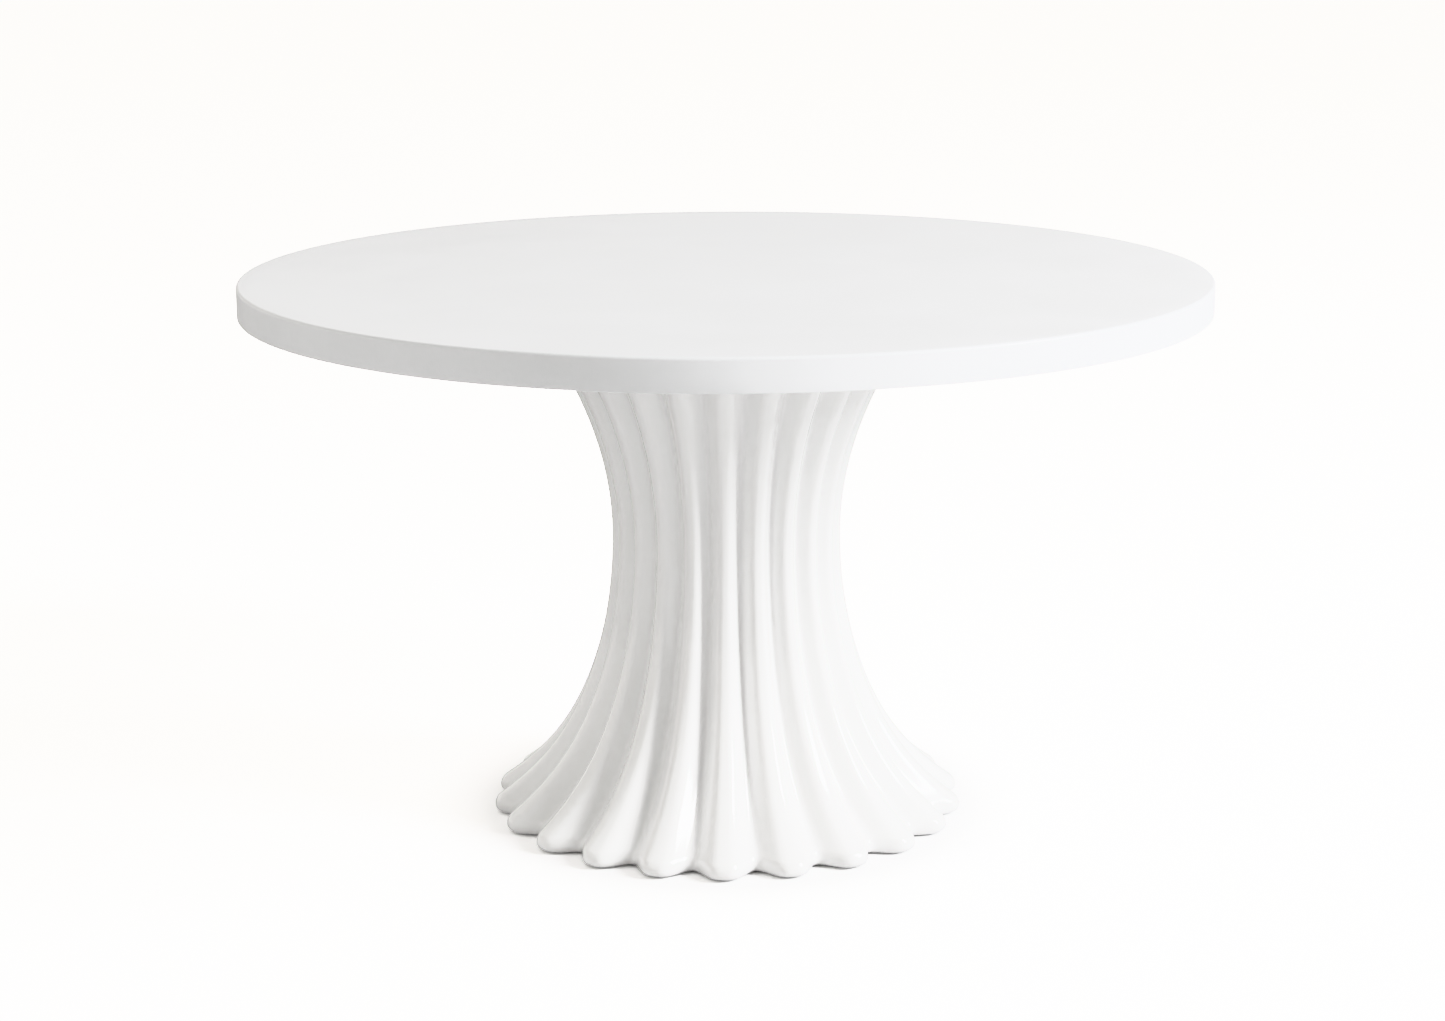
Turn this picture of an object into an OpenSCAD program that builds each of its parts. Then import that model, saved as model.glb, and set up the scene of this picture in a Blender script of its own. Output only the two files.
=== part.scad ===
// Round pedestal table: a lacquered round top on a flared, fluted pedestal.
// Z = 0 is the floor, +Z is up, and the Z axis is the axis of the pedestal. All sizes are in mm.

/* [Table top] */
// Diameter of the table top
top_d = 1300; // [1200:10:1400]
// Height of the top face above the floor
table_h = 750; // [740:1:760]
// Thickness seen at the edge of the top: the board and the rim under it
edge_t = 42; // [38:1:46]
// Thickness of the full-size round board
board_t = 25; // [22:1:28]
// Radius of the softened upper arris
arris_r = 4; // [2:0.5:6]
// Radial width of the rim that is glued under the edge
rim_w = 80; // [60:5:100]
// Chamfer along the lower inside edge of the rim
rim_chamfer = 2; // [1:0.5:4]
// Diameter of the mounting disc under the middle of the top
disc_d = 640; // [620:5:680]

/* [Pedestal shell] */
// Ribs on each of the eleven segments of the shell
segment_ribs = 2; // [1:1:3]
// Depth of the flutes as a part of the radius
rib_depth = 0.098; // [0.08:0.002:0.11]
// Fullness of the ribs: 1 gives an even wave, more gives broad ribs and narrow flutes
rib_fullness = 1.5; // [1:0.1:2]
// Radius over the ribs at the waist
waist_r = 157.5; // [150:0.5:165]
// Height of the waist
waist_z = 394; // [385:1:405]
// Radius of curvature of the flare above the waist
crown_curve_r = 417; // [400:1:440]
// Radius over the ribs where the toe begins
foot_r = 319; // [312:0.5:326]
// Height where the toe begins
foot_z = 24; // [22:0.5:25]
// Share of the even curve in the lower flare, the rest being the sharper sweep at the foot
foot_blend = 0.68; // [0.6:0.01:0.8]
// Radius of the rounded toe, above its widest place
toe_r = 16; // [14:0.5:17]
// Wall thickness of the shell
wall_t = 8; // [6:0.5:9]
// Gap between the shell and the floor
floor_gap = 3; // [2:0.5:4]

/* [Steel frame] */
// Diameter of the round top plate
plate_d = 360; // [340:5:365]
// Thickness of the top plate
plate_t = 6; // [5:0.5:8]
// Outside diameter of the column tube
column_d = 76; // [70:1:80]
// Wall of the column tube
column_wall = 3.2; // [2.5:0.1:4]
// Thread size of the tie rod
rod_d = 16; // [14:1:18]
// Diameter of the ballast plate
ballast_d = 380; // [360:5:390]
// Thickness of the ballast plate
ballast_t = 20; // [16:1:24]

/* [Wooden inner parts] */
// Thickness of the base board inside the foot
base_board_t = 18; // [16:1:20]
// Height of the base board's underside above the floor
recess_h = 24; // [23:0.5:26]
// Thickness of the crown ring inside the top of the shell
crown_ring_t = 18; // [15:1:21]

/* [Levelling feet] */
// Radius of the circle on which the feet stand
feet_circle_r = 222; // [216:1:226]
// Diameter of a foot pad
pad_d = 40; // [36:1:44]
// Thread size of the levelling studs
stud_d = 10; // [8:1:10]

/* [Hidden] */
RIM_COUNT = 8;
SEGMENT_COUNT = 11;
FOOT_COUNT = 6;
$fn = 128;

// Heights of the layers, from the floor up
board_z = table_h - board_t;
crown_z = table_h - edge_t;
disc_t = edge_t - board_t;
plate_z = crown_z - plate_t;
base_board_z = recess_h;
ballast_z = base_board_z + base_board_t;
column_z = ballast_z + ballast_t;

// Clearances and small allowances
bond_gap = 0.5;
joint_gap = 0.3;
seam_angle = 0.03;
bolt_clearance = 0.5;
thread_clearance = 0.05;
tip_clearance = 1;
rod_clearance = 1;
plate_clearance = 2;
cut = 1;
disc_chamfer = 3;

// Fasteners: radii, heights and the circles on which they sit
plate_circle_r = 150;
plate_screw_count = 8;
m6_r = 3;
m6_head_w = 10;
m6_head_h = 4;
m6_washer_r = 6;
m6_washer_t = 1.6;
insert_r = 4.5;
insert_cover = 4;
insert_l = disc_t - insert_cover;
disc_screw_edge = 25;
disc_screw_circle_r = disc_d / 2 - disc_screw_edge;
disc_screw_count = 8;
wood_screw_r = 2.25;
wood_screw_head_r = 4.5;
wood_screw_bite = 16;
wood_screw_l = disc_t + wood_screw_bite;
ballast_circle_r = 160;
ballast_bolt_count = 4;
ballast_start = 45;
m8_r = 4;
m8_head_w = 13;
m8_head_h = 5.3;
m8_nut_h = 6.8;
m8_washer_r = 8;
m8_washer_t = 1.6;
m8_end = 3.6;
rod_nut_w = 24;
rod_nut_h = 13;
rod_washer_r = 25;
rod_washer_t = 4;
rod_end = 2;
rod_top_gap = 2;
socket_h = 25;
spigot_h = 15;

// Bond between the base board and the shell
bead_inset = 3;
bead_step = 1;

// Levelling feet
feet_start = 30;
tnut_flange_r = 10.5;
tnut_flange_t = 1.5;
tnut_wall = 1.2;
tnut_barrel_r = stud_d / 2 + tnut_wall;
tnut_barrel_h = 13;
pad_h = 8;
pad_chamfer = 1;
pad_rim_h = 3;
pad_boss_h = 1.5;
pad_socket_z = 2.3;
socket_gap = 0.2;
stud_cover = 4;
stud_top_z = ballast_z + stud_cover;
collar_gap = 0.3;
collar_w = 17;
collar_z = pad_h + collar_gap;
collar_h = 6;

// Colours
lacquer = [0.93, 0.93, 0.92];
gloss_white = [0.95, 0.95, 0.94];
plywood = [0.78, 0.63, 0.44];
fibreboard = [0.66, 0.53, 0.40];
resin = [0.80, 0.76, 0.62];
black_steel = [0.16, 0.16, 0.17];
steel = [0.60, 0.61, 0.63];
zinc = [0.75, 0.76, 0.78];
nylon = [0.20, 0.20, 0.21];

// ---- Shape of the fluted pedestal ----

// Place on the lower flare, 0 at the waist and 1 where the toe begins
function flare_t(z) = (waist_z - z) / (waist_z - foot_z);

// Radius over the ribs at height z
function crest_r(z) = z > waist_z
    ? waist_r + pow(z - waist_z, 2) / (2 * crown_curve_r)
    : waist_r + (foot_r - waist_r) * (foot_blend * pow(flare_t(z), 2)
        + (1 - foot_blend) * pow(flare_t(z), 6));

// How fast that radius changes with height, as a positive number
function crest_slope(z) = z > waist_z
    ? (z - waist_z) / crown_curve_r
    : (foot_r - waist_r) / (waist_z - foot_z) * (2 * foot_blend * flare_t(z)
        + 6 * (1 - foot_blend) * pow(flare_t(z), 5));

// Radial distance from the outer to the inner face at height z
function wall_at(z) = wall_t * sqrt(1 + pow(crest_slope(z), 2));

rib_count = SEGMENT_COUNT * segment_ribs;

// Share of the crest radius that is left at angle a: 1 on a rib, least in a flute
function flute(a) = 1 - rib_depth * pow((1 - cos(rib_count * a)) / 2, rib_fullness);

// Smallest inner radius of the shell at height z, in the bottom of the flutes
function inner_valley_r(z) = crest_r(z) * (1 - rib_depth) - wall_at(z);

// Angles of the points round the pedestal: six steps for each rib, a rib at the front on -Y
RIB_STEPS = 6;
ring_angles = [for (j = [0:rib_count * RIB_STEPS - 1]) 360 * j / (rib_count * RIB_STEPS)];

// Angles of the points on segment i, from flute to flute, a little short at both ends
segment_steps = segment_ribs * RIB_STEPS;
function segment_angles(i) = [
    for (j = [0:segment_steps])
        (i - 1) * 360 / SEGMENT_COUNT - 180 / rib_count + 360 / SEGMENT_COUNT * j / segment_steps
        + (j == 0 ? seam_angle : j == segment_steps ? -seam_angle : 0)];

// Points at those angles; p is [radius over the ribs, distance inwards, height]
function fluted_points(p, angles) = [
    for (a = angles) let (r = p[0] * flute(a) - p[1]) [r * sin(a), -r * cos(a), p[2]]];

// The sides of a fluted solid of n rows with m points each; closed joins the last point to the first
function fluted_sides(n, m, closed) = [
    for (i = [0:n - 1], j = [0:closed ? m - 1 : m - 2])
        let (i2 = (i + 1) % n, j2 = (j + 1) % m,
             a = i * m + j, b = i * m + j2, c = i2 * m + j2, d = i2 * m + j)
        each [[a, b, c], [a, c, d]]];

// A closed fluted ring whose section goes through every p of the loop, clockwise in r and z
module fluted_ring(loop) {
    polyhedron([for (p = loop) each fluted_points(p, ring_angles)],
        fluted_sides(len(loop), len(ring_angles), true));
}

// One segment of such a ring; row k from the end of the loop lies behind row k from its start
module fluted_segment(loop, angles) {
    n = len(loop);
    m = len(angles);
    quads = [for (k = [0:n / 2 - 2]) [k, k + 1, n - 2 - k, n - 1 - k]];
    polyhedron([for (p = loop) each fluted_points(p, angles)],
        concat(fluted_sides(n, m, false),
            [for (q = quads) each [[q[0], q[1], q[2]] * m, [q[0], q[2], q[3]] * m]],
            [for (q = quads, t = [[q[2], q[1], q[0]], [q[3], q[2], q[0]]])
                [for (k = t) k * m + m - 1]]));
}

// The toe: an arc of toe_r out to its widest place at toe_c[1], and a smaller one under it
toe_a0 = atan(crest_slope(foot_z));
toe_c = [foot_r - toe_r * cos(toe_a0), foot_z - toe_r * sin(toe_a0)];
under_r = toe_c[1] - floor_gap;
under_c = [toe_c[0] + toe_r - under_r, toe_c[1]];

// Heights of the rows; below the waist they draw together towards the foot
UPPER_STEPS = 7;
LOWER_STEPS = 9;
TOE_STEPS = 3;
ROW_CROWDING = 0.65;
shell_z = concat(
    [for (i = [0:UPPER_STEPS - 1]) crown_z + (waist_z - crown_z) * i / UPPER_STEPS],
    [for (i = [0:LOWER_STEPS]) waist_z + (foot_z - waist_z) * pow(i / LOWER_STEPS, ROW_CROWDING)]);

// Rows down the outside and round the two arcs of the toe, and the rows of the inside behind them
outer_rows = concat(
    [for (z = shell_z) [crest_r(z), 0, z]],
    [for (i = [1:TOE_STEPS]) let (a = toe_a0 * (1 - i / TOE_STEPS))
        [toe_c[0] + toe_r * cos(a), 0, toe_c[1] + toe_r * sin(a)]],
    [for (i = [1:TOE_STEPS]) let (a = -90 * i / TOE_STEPS)
        [under_c[0] + under_r * cos(a), 0, under_c[1] + under_r * sin(a)]]);
inner_rows = concat(
    [for (z = shell_z) [crest_r(z), wall_at(z), z]],
    [for (i = [1:2 * TOE_STEPS])
        [foot_r, wall_at(foot_z), foot_z + (floor_gap - foot_z) * i / (2 * TOE_STEPS)]]);
shell_loop = concat(outer_rows, [for (i = [len(inner_rows) - 1:-1:0]) inner_rows[i]]);

// One moulded segment of the shell; the segments are bonded edge to edge along the flutes
module shell_segment(i) {
    color(gloss_white) fluted_segment(shell_loop, segment_angles(i));
}

// ---- Helpers ----

// Copies of the children on a circle of radius r, the first at angle start
module on_circle(count, r, start = 0) {
    for (i = [0:count - 1])
        rotate([0, 0, start + 360 * i / count]) translate([r, 0, 0]) children();
}

module disc(r, z, h) {
    translate([0, 0, z]) cylinder(h = h, r = r);
}

module washer(outer_r, inner_r, z, h) {
    difference() {
        disc(outer_r, z, h);
        disc(inner_r, z - cut, h + 2 * cut);
    }
}

// A hexagon, measured across its flats
module hexagon(width, z, h) {
    translate([0, 0, z]) cylinder(h = h, d = width / cos(30), $fn = 6);
}

// ---- Table top ----

// Points of the quarter circle at the upper arris, round c
ARRIS_STEPS = 6;
function arris(c, r) = [
    for (i = [0:ARRIS_STEPS]) let (a = 90 * i / ARRIS_STEPS) [c[0] + r * cos(a), c[1] + r * sin(a)]];

module top_board() {
    r = top_d / 2;
    color(lacquer) difference() {
        rotate_extrude() polygon(concat(
            [[0, board_z], [r, board_z]],
            arris([r - arris_r, table_h - arris_r], arris_r),
            [[0, table_h]]));
        on_circle(disc_screw_count, disc_screw_circle_r)
            disc(wood_screw_r + thread_clearance, board_z - cut, cut + wood_screw_bite + tip_clearance);
    }
}

// One arc of the rim; the arcs meet in butt joints
module rim_segment(i) {
    outer = top_d / 2;
    inner = outer - rim_w;
    gap_angle = joint_gap / outer * 180 / PI;
    color(lacquer)
        rotate([0, 0, (i - 1) * 360 / RIM_COUNT])
            rotate_extrude(angle = 360 / RIM_COUNT - gap_angle)
                polygon([[inner, board_z], [inner, crown_z + rim_chamfer],
                    [inner + rim_chamfer, crown_z], [outer, crown_z], [outer, board_z]]);
}

module mounting_disc() {
    r = disc_d / 2;
    color(fibreboard) difference() {
        rotate_extrude() polygon([[0, crown_z], [r - disc_chamfer, crown_z],
            [r, crown_z + disc_chamfer], [r, board_z], [0, board_z]]);
        on_circle(plate_screw_count, plate_circle_r)
            disc(insert_r, crown_z - cut, cut + insert_l + tip_clearance);
        on_circle(disc_screw_count, disc_screw_circle_r) {
            disc(wood_screw_r + bolt_clearance, crown_z - cut, disc_t + 2 * cut);
            translate([0, 0, crown_z]) cylinder(h = wood_screw_head_r, r1 = wood_screw_head_r
                + bolt_clearance, r2 = bolt_clearance);
        }
    }
}

// Countersunk wood screws that hold the mounting disc to the board
module disc_screws() {
    color(zinc) on_circle(disc_screw_count, disc_screw_circle_r) {
        head_h = wood_screw_head_r - wood_screw_r;
        translate([0, 0, crown_z]) cylinder(h = head_h, r1 = wood_screw_head_r, r2 = wood_screw_r);
        disc(wood_screw_r, crown_z + head_h, wood_screw_l - head_h);
    }
}

// ---- Steel frame ----

module plate_inserts() {
    color(zinc) on_circle(plate_screw_count, plate_circle_r)
        washer(insert_r, m6_r + thread_clearance, crown_z, insert_l);
}

module plate_screws() {
    head_z = plate_z - m6_washer_t - m6_head_h;
    color(steel) on_circle(plate_screw_count, plate_circle_r) {
        hexagon(m6_head_w, head_z, m6_head_h);
        disc(m6_r, head_z + m6_head_h, m6_washer_t + plate_t + insert_l - tip_clearance);
    }
}

module plate_washers() {
    color(zinc) on_circle(plate_screw_count, plate_circle_r)
        washer(m6_washer_r, m6_r + bolt_clearance, plate_z - m6_washer_t, m6_washer_t);
}

module top_plate() {
    color(black_steel) difference() {
        disc(plate_d / 2, plate_z, plate_t);
        on_circle(plate_screw_count, plate_circle_r)
            disc(m6_r + bolt_clearance, plate_z - cut, plate_t + 2 * cut);
    }
}

column_inner_r = column_d / 2 - column_wall;

// Threaded boss in the top of the column, under the top plate
module rod_socket() {
    color(steel) washer(column_inner_r - thread_clearance, rod_d / 2 + thread_clearance,
        plate_z - socket_h, socket_h);
}

module column_tube() {
    color(black_steel) washer(column_d / 2, column_inner_r, column_z, plate_z - column_z);
}

rod_nut_z = base_board_z - rod_washer_t - rod_nut_h;

module tie_rod() {
    bottom = rod_nut_z - rod_end;
    color(steel) disc(rod_d / 2, bottom, plate_z - rod_top_gap - bottom);
}

// Ring on the ballast plate that centres the lower end of the column
module lower_spigot() {
    color(steel) washer(column_inner_r - thread_clearance, rod_d / 2 + bolt_clearance,
        column_z, spigot_h);
}

module rod_washer() {
    color(zinc) washer(rod_washer_r, rod_d / 2 + bolt_clearance,
        base_board_z - rod_washer_t, rod_washer_t);
}

module rod_nut() {
    color(zinc) difference() {
        hexagon(rod_nut_w, rod_nut_z, rod_nut_h);
        disc(rod_d / 2 + thread_clearance, rod_nut_z - cut, rod_nut_h + 2 * cut);
    }
}

module ballast_plate() {
    color(black_steel) difference() {
        disc(ballast_d / 2, ballast_z, ballast_t);
        disc(rod_d / 2 + rod_clearance, ballast_z - cut, ballast_t + 2 * cut);
        on_circle(ballast_bolt_count, ballast_circle_r, ballast_start)
            disc(m8_r + bolt_clearance, ballast_z - cut, ballast_t + 2 * cut);
    }
}

m8_nut_z = base_board_z - m8_washer_t - m8_nut_h;

module ballast_bolts() {
    color(steel) on_circle(ballast_bolt_count, ballast_circle_r, ballast_start) {
        hexagon(m8_head_w, column_z, m8_head_h);
        disc(m8_r, m8_nut_z - m8_end, column_z - m8_nut_z + m8_end);
    }
}

module ballast_washers() {
    color(zinc) on_circle(ballast_bolt_count, ballast_circle_r, ballast_start)
        washer(m8_washer_r, m8_r + bolt_clearance, base_board_z - m8_washer_t, m8_washer_t);
}

module ballast_nuts() {
    color(zinc) on_circle(ballast_bolt_count, ballast_circle_r, ballast_start) difference() {
        hexagon(m8_head_w, m8_nut_z, m8_nut_h);
        disc(m8_r + thread_clearance, m8_nut_z - cut, m8_nut_h + 2 * cut);
    }
}

// ---- Wooden inner parts ----

// Ring bonded into the top of the shell; it centres the shell round the top plate
module crown_ring() {
    z = crown_z - crown_ring_t;
    color(plywood) washer(inner_valley_r(z) - bond_gap, plate_d / 2 + plate_clearance, z, crown_ring_t);
}

// Distances inwards from the ribs' radius at ballast_z: the shell's inner face and the board's edge
board_crest = crest_r(ballast_z);
board_face = wall_at(ballast_z);
board_edge = board_face + bond_gap;

module base_board() {
    color(plywood) difference() {
        translate([0, 0, base_board_z]) linear_extrude(base_board_t)
            polygon([for (p = fluted_points([board_crest, board_edge, 0], ring_angles))
                [p[0], p[1]]]);
        disc(rod_d / 2 + rod_clearance, base_board_z - cut, base_board_t + 2 * cut);
        on_circle(ballast_bolt_count, ballast_circle_r, ballast_start)
            disc(m8_r + bolt_clearance, base_board_z - cut, base_board_t + 2 * cut);
        on_circle(FOOT_COUNT, feet_circle_r, feet_start)
            disc(tnut_barrel_r, base_board_z - cut, base_board_t + 2 * cut);
    }
}

// Fillet of resin and glass fibre between the base board's edge and the shell
module bond_bead() {
    low = max(base_board_z - bead_inset, foot_z);
    color(resin) fluted_ring([
        [board_crest, board_face, ballast_z - bead_inset],
        [crest_r(low), wall_at(low) + bond_gap, low],
        [board_crest, board_face, base_board_z - bead_step]]);
}

// ---- Levelling feet ----

// Flanged nuts that are pressed into the base board from below
module leveller_tnuts() {
    color(zinc) on_circle(FOOT_COUNT, feet_circle_r, feet_start) difference() {
        union() {
            disc(tnut_flange_r, base_board_z - tnut_flange_t, tnut_flange_t);
            disc(tnut_barrel_r, base_board_z - tnut_flange_t, tnut_flange_t + tnut_barrel_h);
        }
        disc(stud_d / 2 + thread_clearance, base_board_z - tnut_flange_t - cut,
            tnut_flange_t + tnut_barrel_h + 2 * cut);
    }
}

module at_foot(i) {
    rotate([0, 0, feet_start + 360 * (i - 1) / FOOT_COUNT]) translate([feet_circle_r, 0, 0]) children();
}

// Swivel pad that stands on the floor, with a socket for the end of the stud
module leveller_pad(i) {
    r = pad_d / 2;
    boss_r = r / 2;
    hole_r = stud_d / 2 + thread_clearance;
    color(nylon) at_foot(i) rotate_extrude() polygon([
        [0, 0], [r - pad_chamfer, 0], [r, pad_chamfer], [r, pad_rim_h], [boss_r, pad_h - pad_boss_h],
        [boss_r, pad_h], [hole_r, pad_h], [hole_r, pad_socket_z], [0, pad_socket_z]]);
}

// Threaded stud with a hexagonal collar, which turns in the flanged nut
module leveller_stud(i) {
    color(zinc) at_foot(i) {
        hexagon(collar_w, collar_z, collar_h);
        disc(stud_d / 2, pad_socket_z + socket_gap, stud_top_z - pad_socket_z - socket_gap);
    }
}

top_board();
for (i = [1:RIM_COUNT])
    rim_segment(i);
mounting_disc();
disc_screws();
plate_inserts();
plate_screws();
plate_washers();
top_plate();
rod_socket();
column_tube();
tie_rod();
lower_spigot();
rod_washer();
rod_nut();
for (i = [1:SEGMENT_COUNT])
    shell_segment(i);
crown_ring();
base_board();
bond_bead();
ballast_plate();
ballast_bolts();
ballast_washers();
ballast_nuts();
leveller_tnuts();
for (i = [1:FOOT_COUNT])
    leveller_pad(i);
for (i = [1:FOOT_COUNT])
    leveller_stud(i);
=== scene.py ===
import math

import bpy
import numpy as np
from mathutils import Matrix, Vector


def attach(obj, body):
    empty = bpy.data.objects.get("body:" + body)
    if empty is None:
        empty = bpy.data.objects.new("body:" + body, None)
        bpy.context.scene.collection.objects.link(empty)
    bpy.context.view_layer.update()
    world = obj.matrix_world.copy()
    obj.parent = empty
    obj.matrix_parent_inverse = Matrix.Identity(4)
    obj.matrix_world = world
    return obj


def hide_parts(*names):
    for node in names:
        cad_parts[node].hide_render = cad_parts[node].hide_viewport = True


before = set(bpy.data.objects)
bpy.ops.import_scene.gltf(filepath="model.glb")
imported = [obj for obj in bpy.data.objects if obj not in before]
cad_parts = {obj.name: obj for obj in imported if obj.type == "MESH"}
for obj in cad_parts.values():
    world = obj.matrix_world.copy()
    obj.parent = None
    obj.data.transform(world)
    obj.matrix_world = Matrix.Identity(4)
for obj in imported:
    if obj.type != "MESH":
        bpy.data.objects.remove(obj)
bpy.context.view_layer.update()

# ---------------------------------------------------------------- dimensions, in metres, as in part.scad
MM = 0.001
TOP_R = 650 * MM
TABLE_H = 750 * MM
EDGE_T = 42 * MM
BOARD_T = 25 * MM
ARRIS_R = 4 * MM
RIM_W = 80 * MM
RIM_COUNT = 8
RIM_CHAMFER = 2 * MM
RIM_SOFT = 1.2 * MM
TOP_BORDER = 30 * MM
TOP_AXIS_R = 0.4 * MM
BOARD_Z = TABLE_H - BOARD_T
CROWN_Z = TABLE_H - EDGE_T

SEGMENT_COUNT = 11
SEGMENT_RIBS = 2
RIB_COUNT = SEGMENT_COUNT * SEGMENT_RIBS
RIB_DEPTH = 0.098
RIB_FULLNESS = 1.5
WAIST_R = 157.5 * MM
WAIST_Z = 394 * MM
CROWN_CURVE_R = 417 * MM
FOOT_R = 319 * MM
FOOT_Z = 24 * MM
FOOT_BLEND = 0.68
TOE_R = 16 * MM
WALL_T = 8 * MM
FLOOR_GAP = 3 * MM

PLATE_T = 6 * MM
PLATE_Z = CROWN_Z - PLATE_T
ROD_R = 8 * MM
BASE_BOARD_Z = 24 * MM
BASE_BOARD_T = 18 * MM
BALLAST_Z = BASE_BOARD_Z + BASE_BOARD_T
BALLAST_T = 20 * MM
COLUMN_Z = BALLAST_Z + BALLAST_T

FOOT_COUNT = 6
FEET_CIRCLE_R = 222 * MM
FEET_START = math.radians(30)
PAD_R = 20 * MM
PAD_H = 8 * MM
STUD_R = 5 * MM
STUD_PITCH = 1.5 * MM
STUD_NECK_R = 4.6 * MM
STUD_LOW = 2.5 * MM
STUD_TOP = 46 * MM
SOCKET_R = STUD_R + 0.05 * MM
SOCKET_Z = 2.3 * MM
PAD_RIM_Z = 3 * MM
COLLAR_W = 17 * MM
COLLAR_Z = 8.3 * MM
COLLAR_H = 6 * MM
TNUT_R = 10.5 * MM
TNUT_FLANGE_T = 1.5 * MM
TNUT_BARREL_R = 6.2 * MM
TNUT_BARREL_H = 11.5 * MM
PAD_RIBS = 8
PAD_RIB_W = 1.2 * MM
PAD_SOFT = 1 * MM
PAD_GRIP_H = 0.4 * MM
PAD_AXIS_R = 0.2 * MM

THREAD_DEPTH = 0.54  # of the pitch
ROWS_PER_TURN = 8
NUT_CROWN = 0.985  # radius of the flat face, as a part of the half width
NUT_CHAMFER = math.radians(30)
THREAD_GAP = 0.05 * MM
BOLT_GAP = 0.5 * MM
OVERLAP = 0.5 * MM
WASHER_T = 1.6 * MM

DISC_SCREW_COUNT = 8
DISC_SCREW_CIRCLE_R = 295 * MM
SCREW_R = 2.25 * MM
SCREW_NECK_R = SCREW_R * 0.8
SCREW_PITCH = 2.2 * MM
SCREW_HEAD_R = 4.5 * MM
SCREW_HEAD_EDGE = 0.25 * MM
SCREW_HEAD_H = 2.6 * MM
SCREW_NECK_L = 10 * MM
SCREW_L = 33 * MM
SCREW_TIP_L = 2 * MM
RECESS_DEPTH = 1.7 * MM
RECESS_ARM = 2.3 * MM
RECESS_W = 0.9 * MM
RECESS_TAPER = 0.45

PLATE_SCREW_COUNT = 8
PLATE_CIRCLE_R = 150 * MM
M6_R = 3 * MM
M6_PITCH = 1 * MM
M6_HEAD_W = 10 * MM
M6_HEAD_H = 4 * MM
M6_WASHER_R = 6 * MM
INSERT_R = 4.5 * MM
INSERT_L = 13 * MM
TIP_GAP = 1 * MM

BALLAST_BOLT_COUNT = 4
BALLAST_CIRCLE_R = 160 * MM
BALLAST_START = math.radians(45)
M8_R = 4 * MM
M8_CORE_R = 3.7 * MM
M8_PITCH = 1.25 * MM
M8_HEAD_W = 13 * MM
M8_HEAD_H = 5.3 * MM
M8_COLLAR_R = 5.8 * MM
M8_COLLAR_H = 0.4 * MM
M8_NUT_H = 6.8 * MM
M8_WASHER_R = 8 * MM
M8_THREAD_L = 16 * MM
BOLT_END = 3.6 * MM

ROD_LOW = 5 * MM
ROD_PITCH = 2 * MM
ROD_CORE_R = ROD_R * 0.94
ROD_LOW_THREAD_L = 70 * MM
ROD_TOP_THREAD_L = 40 * MM
ROD_TOP_GAP = 2 * MM
ROD_NUT_W = 24 * MM
ROD_NUT_H = 13 * MM
ROD_NUT_HOLE_R = 7.9 * MM
ROD_WASHER_R = 25 * MM
ROD_WASHER_T = 4 * MM
COLUMN_R = 38 * MM
COLUMN_WALL = 3.2 * MM
SOCKET_H = 25 * MM
SPIGOT_H = 15 * MM


# ---------------------------------------------------------------- mesh helpers

def link(obj):
    bpy.context.scene.collection.objects.link(obj)
    return obj


def make_piece(name, parts, material, smooth_angle=35):
    """One mesh object from a list of (points, faces) parts, shaded smooth below smooth_angle."""
    points, faces, start = [], [], 0
    for part_points, part_faces in parts:
        points.append(np.asarray(part_points, dtype=float))
        faces.extend([tuple(i + start for i in f) for f in part_faces])
        start += len(part_points)
    mesh = bpy.data.meshes.new(name)
    mesh.from_pydata(np.concatenate(points).tolist(), [], faces)
    mesh.update()
    mesh.polygons.foreach_set("use_smooth", [True] * len(mesh.polygons))
    mesh.set_sharp_from_angle(angle=math.radians(smooth_angle))
    mesh.materials.append(material)
    return link(bpy.data.objects.new(name, mesh))


def closed_loop_faces(rings, steps):
    """Faces of a tube whose section is a closed loop of rings; a ring holds steps points."""
    faces = []
    for i in range(rings):
        k = (i + 1) % rings
        for j in range(steps):
            n = (j + 1) % steps
            faces.append((i * steps + j, k * steps + j, k * steps + n, i * steps + n))
    return faces


def open_loop_faces(rings, steps):
    """Faces of a stack of rings, with flat faces on both ends."""
    faces = []
    for i in range(rings - 1):
        for j in range(steps):
            n = (j + 1) % steps
            faces.append((i * steps + j, (i + 1) * steps + j, (i + 1) * steps + n, i * steps + n))
    faces.append(tuple(range(steps)))
    faces.append(tuple((rings - 1) * steps + j for j in reversed(range(steps))))
    return faces


def ring_stack(section, steps, radius_at=None, height_at=None):
    """Points of rings through section, a list of (r, z) from the top of the outside downwards."""
    angles = np.arange(steps) * 2 * math.pi / steps
    rings = []
    for k, (r, z) in enumerate(section):
        radii = np.full(steps, r) if radius_at is None else radius_at(k, r, z, angles)
        heights = np.full(steps, z) if height_at is None else height_at(k, r, z, angles)
        rings.append(np.stack([radii * np.cos(angles), radii * np.sin(angles), heights], -1))
    return np.concatenate(rings)


def turned(section, steps=96, closed=True, **shape):
    """A solid of revolution. A closed section is a ring with a hole; an open one runs from axis to axis."""
    points = ring_stack(section, steps, **shape)
    make_faces = closed_loop_faces if closed else open_loop_faces
    return points, make_faces(len(section), steps)


def moved(part, matrix):
    points, faces = part
    rotation = np.array(matrix.to_3x3())
    return np.asarray(points) @ rotation.T + np.array(matrix.translation), faces


def on_circle(part, count, radius, start=0.0):
    """Copies of a part on a circle."""
    copies = []
    for i in range(count):
        turn = Matrix.Rotation(start + i * 2 * math.pi / count, 4, "Z")
        copies.append(moved(part, turn @ Matrix.Translation((radius, 0, 0))))
    return copies


def arc(cx, cz, r, a0, a1, steps=6):
    """Section points on an arc, angles in degrees."""
    return [(cx + r * math.cos(math.radians(a0 + (a1 - a0) * i / steps)),
             cz + r * math.sin(math.radians(a0 + (a1 - a0) * i / steps))) for i in range(steps + 1)]


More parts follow.
